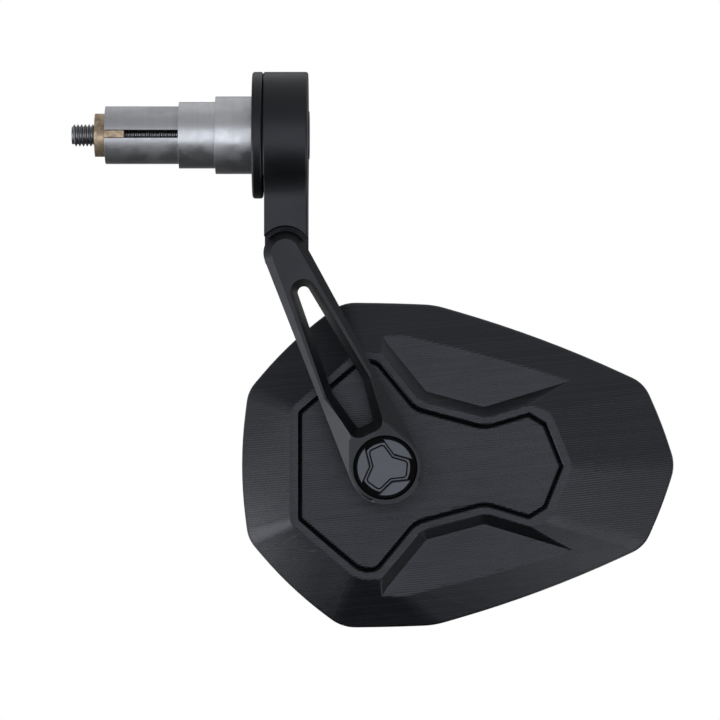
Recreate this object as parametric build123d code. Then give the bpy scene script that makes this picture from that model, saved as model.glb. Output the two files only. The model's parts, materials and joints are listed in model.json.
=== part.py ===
from build123d import *
import math
import os

# Millimetres. X runs out of the handlebar along its axis, Z is up and Y points back to the rider.
# The origin is on the bar axis, at the face that butts against the end of the handlebar.

# Expanding insert
sleeve_diameter = 15.7
sleeve_length = 39.8
sleeve_wall = 3.05
sleeve_solid_end = 8.0
slit_count = 4
slit_width = 2.2
small_ring_wall = 1.13
small_ring_length = 19.9
large_ring_wall = 1.48
large_ring_length = 10.0
ring_slip = 0.02

# Expander cone and the bolt that draws it
cone_step = 2.0
cone_overhang = 2.85
cone_half_angle = 17.5
cone_tail_wall = 1.2
cone_travel = 2.0
rib_length = 5.25
rib_depth = 0.4
rib_side_gap = 0.17
bolt_diameter = 6.0
bolt_overhang = 6.3
bolt_head_diameter = 10.0
bolt_head_height = 6.0
bolt_head_clearance = 1.15
bolt_socket_flats = 5.0
bolt_socket_depth = 3.0
bolt_tip_chamfer = 0.6
bolt_washer_diameter = 11.8
bolt_washer_thickness = 1.0

# Spacer collar, hub and end cap
hub_diameter = 34.3
hub_width = 12.2
hub_edge_round = 0.7
collar_thickness = 2.9
collar_edge_round = 0.7
cap_plug_diameter = 13.3
cap_plug_thickness = 1.7
cap_plug_proud = 0.35
cap_plug_round = 0.4
stem_front = 10.0
stem_rear = 7.5
stem_blend = 13.0
stem_relief = 0.4
stem_relief_start = 11.0

# Folding pivot between the hub and the arm
pivot_drop = 32.1
lap_gap = 0.3
arch_gap = 1.4
tongue_floor = 3.5
pivot_shoulder_diameter = 6.0
pivot_thread_diameter = 5.0
pivot_thread_length = 5.8
pivot_head_diameter = 9.2
pivot_head_height = 2.7
pivot_socket_flats = 4.0
pivot_socket_depth = 1.6
friction_washer_diameter = 9.8
friction_washer_recess = 0.5
disc_spring_thickness = 0.5
disc_spring_rise = 0.3

# Arm
arm_length = 63.6
arm_angle = 25.0
arm_front = 10.0
arm_back = 2.0
knuckle_radius = 5.9
boss_edge_chamfer = 0.6
boss_edge_step = 0.15
boss_back_chamfer = 0.9
boss_shoulder = 1.25
facet_slope = 0.75
tongue_radius = 3.75
bend_along = 39.7
bend_half_width = 7.1
ramp_length = 10.5
pad_angle = 25.0
window_top = 8.1
window_top_half = 3.2
window_bend_half = 6.45
window_foot = 53.1
window_foot_half = 3.9
window_top_round = 3.5
window_foot_round = 2.3
window_draft = 13.4

# Ball joint in the arm's boss
ball_radius = 6.0
ball_depth = 2.0
boss_bore_wall = 1.25
boss_mouth_margin = 0.45
liner_wall = 0.97
liner_mouth_angle = 40.0
seat_wall = 1.57
seat_cover = 0.72
seat_rear_angle = 35.18
seat_split = 0.2
adjuster_flange = 1.1
adjuster_head_step = 0.85
adjuster_head_height = 0.35
adjuster_inset = 0.3
adjuster_relief = 0.9
adjuster_edge = 0.35
adjuster_neck_radius = 6.65
drive_tip_width = 3.8
drive_reach = 5.6
drive_waist = 3.1
drive_round = 0.8
drive_groove = 1.2
drive_draft = 26.0
seal_height = 0.75
stud_neck_diameter = 6.0
stud_thread_diameter = 6.0
stud_flange_diameter = 11.0
stud_flange_thickness = 1.2
stud_washer_diameter = 12.0
stud_washer_thickness = 1.0
stud_nut_flats = 10.0
stud_nut_height = 3.0
stud_end_spare = 0.4

# Mirror housing, seen from behind: the first size of a corner runs outwards from the stud
lip_depth = 6.0
slope_drop = 8.0
rim_height = 4.0
rim_edge = 0.5
lip_width = 2.0
panel_recess = 0.9
panel_groove_width = 1.2
panel_groove_depth = 0.8
panel_groove_foot = 0.45
panel_thickness = 3.1
pocket_depth = 2.9
pocket_tilt = 2.06
back_wall = 1.5
back_margin = 7.0
nut_room_diameter = 26.0
glass_ledge = 2.0
glass_gap = 0.3
pad_thickness = 0.8
pad_margin = 5.0
glass_thickness = 2.6
glass_sphere_radius = 1200.0

# Corners of the housing's outline as (outwards, up, corner radius), upper half, each side's crown
# and the share of a side that its crowning arc takes
rim_inner_corner = (-37.5, 20.3, 9.5)
rim_top_inner_corner = (-11.7, 44.6, 11.0)
rim_top_outer_corner = (13.6, 44.0, 24.0)
rim_outer_corner = (71.2, 22.5, 9.5)
rim_tip = (79.8, 0.0, 10.7)
inner_side_crown = 1.3
shoulder_side_crown = 1.0
top_side_crown = 0.1
outer_side_crown = 1.15
tip_side_crown = 0.35
crown_share = 0.9

# Corners of the raised lip on the housing's back, upper half
lip_inner_corner = (-25.7, 15.7, 3.6)
lip_top_inner_corner = (-7.6, 30.9, 8.0)
lip_top_outer_corner = (-1.1, 30.9, 6.5)
lip_waist_start = (9.7, 17.7, 4.0)
lip_waist = (27.2, 13.0, 5.5)
lip_outer_corner = (39.5, 16.7, 2.0)
lip_tip_corner = (45.7, 12.9, 2.7)
lip_tip = (50.9, 0.0, 2.7)
slope_outer_corner = (44.95, 14.78, 5.0)
lip_side_crown = 0.06

# Milled wall between the lip and a pocket's floor, and how far the cutter runs on past the lip
pocket_wall = 2.9
pocket_lead = 3.0
pocket_spread = 45.0

# Fits
running_gap = 0.05
thread_gap = 0.02
ball_gap = 0.03
part_gap = 0.3
cut_over = 1.0

# Sizes worked out from those above
sleeve_radius = sleeve_diameter / 2
small_ring_radius = sleeve_radius + ring_slip + small_ring_wall
large_ring_radius = small_ring_radius + ring_slip + large_ring_wall
cone_radius = sleeve_radius - cone_step
cone_taper = math.tan(math.radians(cone_half_angle))
cone_face = -sleeve_length - cone_overhang
bolt_radius = bolt_diameter / 2
bolt_tip = cone_face - bolt_overhang
hub_radius = hub_diameter / 2
hub_face = collar_thickness
hub_end = hub_face + hub_width
cap_plug_radius = cap_plug_diameter / 2
cap_plug_front = hub_end + cap_plug_proud
cap_plug_back = cap_plug_front - cap_plug_thickness
bolt_head_seat = cap_plug_back - bolt_head_clearance - bolt_head_height
bolt_seat = bolt_head_seat - bolt_washer_thickness

pivot_x = hub_face + hub_width / 2
pivot_z = -pivot_drop
spring_top = tongue_floor + disc_spring_thickness + disc_spring_rise
tilt = math.radians(arm_angle)
ball_x = pivot_x + arm_length * math.sin(tilt)
ball_z = pivot_z - arm_length * math.cos(tilt)
liner_inner = ball_radius + ball_gap
liner_outer = liner_inner + liner_wall
seat_inner = liner_outer + ball_gap
seat_radius = seat_inner + seat_wall
seat_front = ball_depth + seat_inner + seat_cover
seat_bed = seat_inner * math.sin(math.radians(seat_rear_angle)) - ball_depth
boss_bore = seat_radius + running_gap
boss_radius = boss_bore + boss_bore_wall
boss_mouth = seat_inner * math.cos(math.radians(seat_rear_angle)) + boss_mouth_margin
boss_back = seat_bed + boss_shoulder
cap_flange_top = seat_front + adjuster_flange
cap_relief_floor = cap_flange_top + adjuster_head_height
cap_front = cap_relief_floor + adjuster_relief
boss_front = cap_front + adjuster_inset
adjuster_head_radius = boss_bore - adjuster_head_step

panel_depth = lip_depth + panel_recess
washer_bed = panel_depth + panel_thickness
nut_bed = washer_bed + stud_washer_thickness
stud_end = nut_bed + stud_nut_height + stud_end_spare
pad_bed = stud_end + part_gap
rim_depth = lip_depth + slope_drop
housing_back = rim_depth + rim_height
glass_bed = pad_bed + pad_thickness
pocket_fall = math.tan(math.radians(pocket_tilt))

# Working planes: local Z points to the front of the mirror's back, against Y
arm_plane = Plane((pivot_x, 0, pivot_z), x_dir=(math.sin(tilt), 0, -math.cos(tilt)), z_dir=(0, -1, 0))
head_plane = Plane((ball_x, 0, ball_z), x_dir=(1, 0, 0), z_dir=(0, -1, 0))


def turned(*profile):
    """Solid turned about X from points of (along, radius)."""
    return revolve(make_face(Polyline(*profile, close=True)), Axis.X)


def on_pivot(solid):
    """Put a solid turned about X on the folding pivot, where along becomes Y."""
    return Pos(pivot_x, 0, pivot_z) * Rot(0, 0, 90) * solid


def on_ball(solid):
    """Put a solid turned about X on the ball joint, where along becomes Y."""
    return Pos(ball_x, 0, ball_z) * Rot(0, 0, 90) * solid


def hexagon_bar(flats, start, length):
    """Hexagonal bar along X."""
    section = RegularPolygon(flats / 2, 6, major_radius=False)
    return Pos(start, 0, 0) * Rot(0, 90, 0) * extrude(section, length)


def standing(radius, low, high):
    """Cylinder along local Z between two heights."""
    return Pos(0, 0, low) * Cylinder(radius, high - low, align=(Align.CENTER, Align.CENTER, Align.MIN))


def beyond(origin, normal):
    """Large block that fills the side of a plane that its normal points to."""
    reach = 4 * arm_length
    block = Box(reach, reach, reach, align=(Align.CENTER, Align.CENTER, Align.MIN))
    return Plane(origin, z_dir=normal).location * block


def rounded_outline(corners):
    """Closed wire through (x, y, height, radius) corners, each one rounded by an arc."""
    points = [Vector(x, y, height) for x, y, height, radius in corners]
    bends = []
    for i, (x, y, height, radius) in enumerate(corners):
        back = (points[i - 1] - points[i]).normalized()
        ahead = (points[(i + 1) % len(points)] - points[i]).normalized()
        half = math.radians(back.get_angle(ahead)) / 2
        reach = radius / math.tan(half)
        middle = (back + ahead).normalized() * (radius / math.sin(half) - radius)
        bends.append((points[i] + back * reach, points[i] + middle, points[i] + ahead * reach))
    edges = []
    for i, (start, middle, end) in enumerate(bends):
        edges.append(ThreePointArc(start, middle, end))
        edges.append(Line(end, bends[(i + 1) % len(bends)][0]))
    return Wire(edges)


def inset(corners, distance):
    """Move every side of a clockwise outline of (x, y, radius) corners inwards."""
    moved = []
    for i, (x, y, radius) in enumerate(corners):
        before = corners[i - 1]
        after = corners[(i + 1) % len(corners)]
        in_angle = math.atan2(y - before[1], x - before[0])
        out_angle = math.atan2(after[1] - y, after[0] - x)
        turn = math.remainder(out_angle - in_angle, math.tau)
        mean = in_angle + turn / 2
        step = distance / math.cos(turn / 2)
        shrink = -distance if turn < 0 else distance
        new_radius = max(radius + shrink, rim_edge)
        moved.append((x + step * math.sin(mean), y - step * math.cos(mean), new_radius))
    return moved


def mirrored(upper):
    """Close an upper half outline, listed from inner to outer end, with its lower half."""
    lower = [(x, -y, radius) for x, y, radius in reversed(upper) if y > 0]
    return upper + lower


def crowned(corners, crowns):
    """Bow each side outwards: a broad arc about the middle of the side that leaves each corner."""
    bowed = []
    for i, corner in enumerate(corners):
        after = corners[(i + 1) % len(corners)]
        dx = after[0] - corner[0]
        dy = after[1] - corner[1]
        length = math.hypot(dx, dy)
        rise = 2 * crowns[i]
        middle_x = (corner[0] + after[0]) / 2 - rise * dy / length
        middle_y = (corner[1] + after[1]) / 2 + rise * dx / length
        slant = math.atan2(2 * rise, length)
        taken = max(tangent_length(corners, i), tangent_length(corners, i + 1))
        bowed.append(corner)
        bowed.append((middle_x, middle_y, crown_share * (length / 2 - taken) / math.tan(slant)))
    return bowed


def tangent_length(corners, i):
    """How much of its sides the arc of a corner takes."""
    x, y, radius = corners[i % len(corners)]
    before = corners[(i - 1) % len(corners)]
    after = corners[(i + 1) % len(corners)]
    turn = math.atan2(after[1] - y, after[0] - x) - math.atan2(y - before[1], x - before[0])
    return radius * abs(math.tan(math.remainder(turn, math.tau) / 2))


def at_height(corners, height):
    """Give a flat outline one height."""
    return [(x, y, height, radius) for x, y, radius in corners]


def ruled(*outlines):
    """Solid with straight rulings through outlines that have the same number of corners."""
    return Solid.make_loft([rounded_outline(outline) for outline in outlines], ruled=True)


def ring_sleeve(inner, outer, length):
    """Plain slip-on ring that ends at the bar end face."""
    return turned((-length, inner), (0, inner), (0, outer), (-length, outer))


def make_expander_sleeve():
    """Split sleeve whose mouth is bored to a taper for the cone."""
    bore = sleeve_radius - sleeve_wall
    mouth = cone_radius + cone_travel * cone_taper + part_gap
    taper_end = -sleeve_length + (mouth - bore) / cone_taper
    guide = bolt_radius + running_gap
    sleeve = turned(
        (-sleeve_length, mouth), (taper_end, bore), (-sleeve_solid_end, bore), (-sleeve_solid_end, guide),
        (0, guide), (0, sleeve_radius), (-sleeve_length, sleeve_radius),
    )
    slit_length = sleeve_length - sleeve_solid_end + cut_over
    slit = Pos(-sleeve_length - cut_over, 0, guide) * Box(
        slit_length, slit_width, sleeve_radius, align=(Align.MIN, Align.CENTER, Align.MIN)
    )
    for i in range(slit_count):
        sleeve -= Rot(360 / slit_count * i, 0, 0) * slit
    return sleeve


def make_expander_cone():
    """Threaded cone with ribs that run in the sleeve's slits."""
    tail = bolt_radius + cone_tail_wall
    tail_end = -sleeve_length + (cone_radius - tail) / cone_taper
    thread = bolt_radius + thread_gap
    cone = turned(
        (cone_face, thread), (tail_end, thread), (tail_end, tail), (-sleeve_length, cone_radius),
        (cone_face, cone_radius),
    )
    rib_width = slit_width - 2 * rib_side_gap
    rib_top = sleeve_radius - rib_depth
    rib = Pos(-sleeve_length, 0, tail) * Box(
        rib_length, rib_width, rib_top - tail, align=(Align.MIN, Align.CENTER, Align.MIN)
    )
    for i in range(slit_count):
        cone += Rot(360 / slit_count * i, 0, 0) * rib
    return cone


def make_clamp_bolt():
    """Socket head bolt through the hub, the collar and the sleeve into the cone."""
    head_radius = bolt_head_diameter / 2
    head_end = bolt_head_seat + bolt_head_height
    bolt = turned(
        (bolt_tip, 0), (bolt_tip, bolt_radius - bolt_tip_chamfer),
        (bolt_tip + bolt_tip_chamfer, bolt_radius), (bolt_head_seat, bolt_radius),
        (bolt_head_seat, head_radius), (head_end, head_radius), (head_end, 0),
    )
    return bolt - hexagon_bar(bolt_socket_flats, head_end - bolt_socket_depth, bolt_socket_depth + cut_over)


def make_bolt_washer():
    """Flat washer under the bolt's head."""
    bore = bolt_radius + part_gap
    rim = bolt_washer_diameter / 2
    return turned((bolt_seat, bore), (bolt_head_seat, bore), (bolt_head_seat, rim), (bolt_seat, rim))


def make_spacer_collar():
    """Disc between the bar end and the hub, with rounded edges."""
    bore = bolt_radius + running_gap
    collar = turned((0, bore), (hub_face, bore), (hub_face, hub_radius), (0, hub_radius))
    circles = collar.edges().filter_by(GeomType.CIRCLE)
    return fillet([circle for circle in circles if circle.radius > bore], collar_edge_round)


def hub_profile():
    """Hub disc with a stem that leaves it in two concave blends, drawn in Y and Z."""
    sides = []
    for reach in (-stem_front, stem_rear):
        across = abs(reach) + stem_blend
        down = math.sqrt((hub_radius + stem_blend) ** 2 - across**2)
        share = hub_radius / (hub_radius + stem_blend)
        sign = math.copysign(1, reach)
        centre = Vector(sign * across, -down)
        inward = Vector(-sign, 0) * stem_blend
        toward = (Vector(0, 0) - centre).normalized() * stem_blend
        middle = centre + (inward + toward).normalized() * stem_blend
        sides.append((centre * share, middle, Vector(reach, -down)))
    front, rear = sides
    foot = pivot_z - hub_width / 2
    return make_face(
        [
            ThreePointArc(front[0], Vector(0, hub_radius), rear[0]),
            ThreePointArc(*rear),
            Polyline(rear[2], Vector(stem_rear, foot), Vector(-stem_front, foot), front[2]),
            ThreePointArc(front[2], front[1], front[0]),
        ]
    )


def make_clamp_hub():
    """Hub that turns on the bar axis, with the tongue of the folding pivot on its stem."""
    side = Plane((hub_face, 0, 0), x_dir=(0, 1, 0), z_dir=(1, 0, 0))
    hub = side.location * extrude(hub_profile(), hub_width)
    faces = hub.faces().sort_by(Axis.X)
    rims = faces[0].edges() + faces[-1].edges()
    hub = fillet([edge for edge in rims if edge.center().Z > pivot_z - hub_width / 4], hub_edge_round)
    round_end = turned(
        (-hub_radius, 0), (-hub_radius, hub_width / 2), (hub_radius, hub_width / 2), (hub_radius, 0)
    )
    hub = hub & (beyond((pivot_x, 0, pivot_z), (0, 0, 1)) + on_pivot(round_end))
    arch = knuckle_radius + arch_gap
    hub -= on_pivot(turned((-stem_front - cut_over, 0), (-stem_front - cut_over, arch), (0, arch), (0, 0)))
    shoulder = pivot_shoulder_diameter / 2 + running_gap
    washer_room = friction_washer_diameter / 2 + running_gap
    hub -= on_pivot(
        turned(
            (-cut_over, 0), (-cut_over, washer_room), (friction_washer_recess, washer_room),
            (friction_washer_recess, shoulder), (tongue_floor, shoulder), (tongue_floor, washer_room),
            (stem_rear + cut_over, washer_room), (stem_rear + cut_over, 0),
        )
    )
    relief_face = hub_face + stem_relief
    relief_foot = 2 * pivot_z
    relief = Polyline(
        (hub_face, 0, -stem_relief_start), (relief_face, 0, -stem_relief_start - stem_relief),
        (relief_face, 0, relief_foot), (hub_face - cut_over, 0, relief_foot),
        (hub_face - cut_over, 0, -stem_relief_start), close=True,
    )
    hub -= extrude(make_face(relief), hub_radius + cut_over, both=True)
    bore = bolt_radius + running_gap
    return hub - turned(
        (hub_face - cut_over, 0), (hub_face - cut_over, bore), (bolt_seat, bore),
        (bolt_seat, cap_plug_radius), (hub_end + cut_over, cap_plug_radius), (hub_end + cut_over, 0),
    )


def make_hub_end_cap():
    """Plug that closes the hub over the bolt's head."""
    radius = cap_plug_radius - ring_slip
    plug = turned(
        (cap_plug_back, 0), (cap_plug_back, radius), (cap_plug_front, radius), (cap_plug_front, 0)
    )
    return fillet(plug.edges().filter_by(GeomType.CIRCLE).sort_by(Axis.X)[-1], cap_plug_round)


def make_pivot_screw():
    """Shoulder screw from the rear: its thread is in the arm, its shoulder turns in the tongue."""
    thread = pivot_thread_diameter / 2
    shoulder = pivot_shoulder_diameter / 2
    head = pivot_head_diameter / 2
    head_end = spring_top + pivot_head_height
    screw = turned(
        (-lap_gap - pivot_thread_length, 0), (-lap_gap - pivot_thread_length, thread), (-lap_gap, thread),
        (-lap_gap, shoulder), (spring_top, shoulder), (spring_top, head), (head_end, head), (head_end, 0),
    )
    socket = hexagon_bar(pivot_socket_flats, head_end - pivot_socket_depth, pivot_socket_depth + cut_over)
    return on_pivot(screw - socket)


def make_pivot_friction_washer():
    """Washer let into the tongue that the knuckle rubs on."""
    bore = pivot_shoulder_diameter / 2 + running_gap
    rim = friction_washer_diameter / 2
    return on_pivot(
        turned(
            (-lap_gap, bore), (friction_washer_recess, bore), (friction_washer_recess, rim), (-lap_gap, rim)
        )
    )


def make_pivot_disc_spring():
    """Dished spring washer between the tongue and the screw's head."""
    bore = pivot_shoulder_diameter / 2 + running_gap
    rim = pivot_head_diameter / 2
    land = (rim - bore) / 3
    return on_pivot(
        turned(
            (tongue_floor, bore), (tongue_floor, bore + land), (tongue_floor + disc_spring_rise, rim),
            (spring_top, rim), (spring_top, rim - land), (spring_top - disc_spring_rise, bore),
        )
    )


def arm_silhouette():
    """Outline of the arm seen along the pivots: two arcs and their common tangents."""
    lean = math.acos((knuckle_radius - boss_radius) / arm_length)
    near = Vector(knuckle_radius * math.cos(lean), knuckle_radius * math.sin(lean))
    far = Vector(arm_length + boss_radius * math.cos(lean), boss_radius * math.sin(lean))
    near_low = Vector(near.X, -near.Y)
    far_low = Vector(far.X, -far.Y)
    return make_face(
        [
            Line(near, far),
            ThreePointArc(far, Vector(arm_length + boss_radius, 0), far_low),
            Line(far_low, near_low),
            ThreePointArc(near_low, Vector(-knuckle_radius, 0), near),
        ]
    )


def arm_blank():
    """Arm up to its facets: flat rails, a ramp towards the boss and one long facet on each side."""
    blank = Pos(0, 0, arm_back) * extrude(arm_silhouette(), boss_front - arm_back)
    high = boss_front + cut_over
    profile = Polyline(
        (-arm_length, 0, arm_front), (bend_along, 0, arm_front), (bend_along + ramp_length, 0, boss_front),
        (bend_along + ramp_length, 0, high), (-arm_length, 0, high), close=True,
    )
    blank -= extrude(make_face(profile), boss_radius + cut_over, both=True)
    spread = (bend_half_width - tongue_radius) / bend_along
    for side in (-1, 1):
        normal = (-facet_slope * spread, side * facet_slope, 1)
        blank -= beyond((0, side * tongue_radius, arm_front), normal)
    run = knuckle_radius + cut_over - tongue_radius
    nose = revolve(
        make_face(
            Polyline(
                (tongue_radius, 0, arm_front), (tongue_radius + run, 0, arm_front - facet_slope * run),
                (tongue_radius + run, 0, high), (tongue_radius, 0, high), close=True,
            )
        ),
        Axis.Z,
    )
    return blank - (nose - beyond((0, 0, 0), (1, 0, 0)))


def boss_pad():
    """Raised round pad of the boss, drawn out by two tangents towards the window."""
    lean = math.radians(90 + pad_angle)
    radius = boss_radius - boss_edge_step
    touch = Vector(arm_length + radius * math.cos(lean), radius * math.sin(lean))
    start = bend_along + ramp_length
    start_half = touch.Y - (touch.X - start) * math.tan(math.radians(pad_angle))
    tail = make_face(
        Polyline(
            (start, -start_half), (start, start_half), (touch.X, touch.Y), (touch.X, -touch.Y), close=True
        )
    )
    section = Pos(arm_length, 0) * Circle(radius) + tail
    pad = Pos(0, 0, arm_back) * extrude(section, boss_front - arm_back)
    return chamfer(pad.faces().sort_by(Axis.Z)[-1].edges(), boss_edge_chamfer)


def window_outline(height):
    """Outline of the arm's drafted window at one height."""
    grow = (height - arm_front) * math.tan(math.radians(window_draft))
    upper = [
        (window_top, window_top_half, window_top_round),
        (bend_along, window_bend_half, window_bend_half),
        (window_foot, window_foot_half, window_foot_round),
    ]
    return at_height(inset(mirrored(upper), -grow), height)


def make_mirror_arm():
    """Forged arm with a drafted window, a knuckle for the pivot and a boss for the ball joint."""
    arm = arm_blank() + boss_pad()
    facet_foot = arm_front - facet_slope * (knuckle_radius - tongue_radius)
    arm += standing(knuckle_radius, lap_gap, facet_foot - part_gap)
    boss_pos = Pos(arm_length, 0, 0)
    foot = standing(boss_radius, -boss_back, arm_back)
    arm += boss_pos * chamfer(foot.edges().sort_by(Axis.Z)[0], boss_back_chamfer)
    arm -= ruled(window_outline(arm_back - cut_over), window_outline(boss_front + cut_over))
    arm -= boss_pos * standing(boss_bore, -seat_bed, boss_front + cut_over)
    arm -= boss_pos * standing(boss_mouth, -boss_back - cut_over, 0)
    thread = pivot_thread_diameter / 2 + thread_gap
    arm -= standing(thread, -cut_over, lap_gap + pivot_thread_length + part_gap)
    return arm_plane.location * arm


def drive_corners(reach):
    """Clockwise corners of the drive's three tapered arms, which end at a reach from the centre."""
    root = drive_waist / 2
    root_half = root * math.sqrt(3)
    taper = (root_half - drive_tip_width / 2) / (drive_reach - root)
    half = root_half - taper * (reach - root)
    corners = []
    for i in range(3):
        turn = math.radians(60 - 120 * i)
        for x, y in ((reach, half), (reach, -half), (root, -root_half)):
            across = x * math.cos(turn) - y * math.sin(turn)
            along = x * math.sin(turn) + y * math.cos(turn)
            corners.append((across, along, drive_round))
    return corners


def make_adjuster_cap():
    """Threaded cap that sets the ball joint's grip, with a three armed drive in its face."""
    slope = math.tan(math.radians(drive_draft))
    draft = adjuster_relief * slope
    star = drive_corners(drive_reach)
    channel = drive_corners(adjuster_head_radius + cut_over)
    head = standing(adjuster_head_radius, cap_flange_top + seal_height + ring_slip, cap_front)
    cap = standing(seat_radius, seat_front, cap_flange_top)
    cap += standing(adjuster_neck_radius, cap_flange_top, cap_front)
    cap += chamfer(head.edges().sort_by(Axis.Z)[-1], adjuster_edge)
    cap -= ruled(
        at_height(inset(channel, draft - drive_groove), cap_relief_floor),
        at_height(inset(channel, -drive_groove - cut_over * slope), cap_front + cut_over),
    )
    cap += ruled(at_height(inset(star, -draft), cap_relief_floor), at_height(star, cap_front))
    return arm_plane.location * Pos(arm_length, 0, 0) * cap


def make_cap_seal():
    """Rubber ring in the groove under the cap's head."""
    low = -cap_flange_top
    high = low - seal_height
    inner = adjuster_neck_radius + ring_slip
    return on_ball(turned((low, inner), (low, seat_radius), (high, seat_radius), (high, inner)))


def ball_sphere(radius):
    """Sphere about the ball's centre."""
    return Pos(ball_x, -ball_depth, ball_z) * Sphere(radius)


def make_ball_seat_front():
    """Cup in front of the ball's liner."""
    seam = -ball_depth - seat_split / 2
    cup = on_ball(turned((-seat_front, 0), (-seat_front, seat_radius), (seam, seat_radius), (seam, 0)))
    return cup - ball_sphere(seat_inner)


def make_ball_seat_rear():
    """Ring behind the ball's liner, seated on the boss's shoulder."""
    seam = -ball_depth + seat_split / 2
    cup = on_ball(turned((seam, 0), (seam, seat_radius), (seat_bed, seat_radius), (seat_bed, 0)))
    return cup - ball_sphere(seat_inner)


def make_ball_liner():
    """Thin bearing shell round the ball, open where the neck comes out."""
    mouth = math.radians(liner_mouth_angle)
    end = 2 * liner_outer - ball_depth
    cone = turned((-ball_depth, 0), (end, (end + ball_depth) * math.tan(mouth)), (end, 0))
    return ball_sphere(liner_outer) - ball_sphere(liner_inner) - on_ball(cone)


def make_ball_stud():
    """Ball, neck, flange and thread in one turned piece."""
    neck = stud_neck_diameter / 2
    thread = stud_thread_diameter / 2
    flange = stud_flange_diameter / 2
    flange_top = panel_depth - stud_flange_thickness
    shank = turned(
        (-ball_depth, 0), (-ball_depth, neck), (flange_top, neck), (flange_top, flange),
        (panel_depth, flange), (panel_depth, thread), (stud_end, thread), (stud_end, 0),
    )
    return ball_sphere(ball_radius) + on_ball(shank)


def make_stud_washer():
    """Washer between the housing and the stud's nut."""
    bore = stud_thread_diameter / 2 + running_gap
    rim = stud_washer_diameter / 2
    return on_ball(turned((washer_bed, bore), (nut_bed, bore), (nut_bed, rim), (washer_bed, rim)))


def make_stud_nut():
    """Hexagon nut that holds the housing on the ball stud."""
    bore = stud_thread_diameter / 2 + thread_gap
    start = nut_bed - cut_over
    end = nut_bed + stud_nut_height + cut_over
    hole = turned((start, 0), (start, bore), (end, bore), (end, 0))
    return on_ball(hexagon_bar(stud_nut_flats, nut_bed, stud_nut_height) - hole)


def rim_corners():
    """Outline of the housing, clockwise from the inner corner, with its bowed sides."""
    upper = [rim_inner_corner, rim_top_inner_corner, rim_top_outer_corner, rim_outer_corner, rim_tip]
    sides = [shoulder_side_crown, top_side_crown, outer_side_crown, tip_side_crown]
    return crowned(mirrored(upper), sides + sides[::-1] + [inner_side_crown])


def slope_top_corners():
    """Outline where the housing's slopes meet the plane of the lip."""
    upper = [lip_inner_corner, lip_top_inner_corner, lip_top_outer_corner, slope_outer_corner, lip_tip]
    outline = mirrored(upper)
    return crowned(outline, [lip_side_crown] * len(outline))


def lip_corners():
    """Outer outline of the lip round the sunk panel."""
    upper = [
        lip_inner_corner, lip_top_inner_corner, lip_top_outer_corner, lip_waist_start, lip_waist,
        lip_outer_corner, lip_tip_corner, lip_tip,
    ]
    return mirrored(upper)


def pocket(side):
    """Cutter for one milled pocket: a tilted floor and a sloped wall along the lip's waist."""
    far_x = rim_tip[0]
    far_y = rim_top_inner_corner[1] + pocket_spread
    outlines = []
    for line in (lip_corners(), inset(lip_corners(), -pocket_wall)):
        top, waist_start, waist, outer = line[2:6]
        grade = (outer[1] - waist[1]) / (outer[0] - waist[0])
        lead_x = top[0] - pocket_lead
        end_y = waist[1] + grade * (far_x - waist[0])
        outlines.append(
            [
                (lead_x, top[1] + 2 * pocket_lead, cut_over), top, waist_start, waist,
                (far_x, end_y, cut_over), (far_x, far_y, cut_over), (lead_x, far_y, cut_over),
            ]
        )
    floor = []
    mouth = []
    for (lip_x, lip_y, lip_radius), (x, y, radius) in zip(*outlines):
        depth = pocket_depth + pocket_fall * (x - lip_top_outer_corner[0])
        over = (depth + cut_over) / depth
        mouth_x = x + (lip_x - x) * over
        mouth_y = y + (lip_y - y) * over
        floor.append((x, side * y, -lip_depth - depth, radius))
        mouth.append((mouth_x, side * mouth_y, cut_over - lip_depth, lip_radius))
    return ruled(floor, mouth)


def make_mirror_housing():
    """Milled housing: bowed outline, long slopes, a sunk panel inside a lip, and two pockets."""
    rim = rim_corners()
    edge = inset(rim, rim_edge)
    body = ruled(
        at_height(slope_top_corners(), -lip_depth),
        at_height(edge, -rim_depth),
        at_height(rim, -rim_depth - rim_edge),
        at_height(rim, rim_edge - housing_back),
        at_height(edge, -housing_back),
    )
    for side in (-1, 1):
        body -= pocket(side)
    lip = lip_corners()
    groove_floor = panel_depth + panel_groove_depth
    foot_line = inset(lip, lip_width + panel_groove_foot)
    steepness = panel_groove_foot / (groove_floor - lip_depth)
    sunk = ruled(
        at_height(inset(lip, lip_width - cut_over * steepness), cut_over - lip_depth),
        at_height(foot_line, -groove_floor),
    )
    panel = ruled(
        at_height(inset(lip, lip_width + panel_groove_width), -panel_depth),
        at_height(foot_line, -groove_floor),
    )
    body -= sunk - panel
    glass_well = inset(rim, glass_ledge)
    body -= ruled(at_height(glass_well, -pad_bed), at_height(glass_well, -housing_back - cut_over))
    room = inset(rim, glass_ledge + back_margin)
    room_roof = lip_depth + pocket_depth + pocket_fall * slope_outer_corner[0] + back_wall
    body -= ruled(at_height(room, -room_roof), at_height(room, -pad_bed - cut_over))
    body -= standing(nut_room_diameter / 2, -pad_bed - cut_over, -washer_bed)
    body -= standing(stud_thread_diameter / 2 + running_gap, -pad_bed, 0)
    return head_plane.location * body


def make_glass_pad():
    """Adhesive foam frame between the housing's ledge and the glass."""
    rim = rim_corners()
    outer = inset(rim, glass_ledge + glass_gap)
    inner = inset(rim, glass_ledge + glass_gap + pad_margin)
    pad = ruled(at_height(outer, -pad_bed), at_height(outer, -glass_bed))
    pad -= ruled(at_height(inner, cut_over - pad_bed), at_height(inner, -glass_bed - cut_over))
    return head_plane.location * pad


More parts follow.
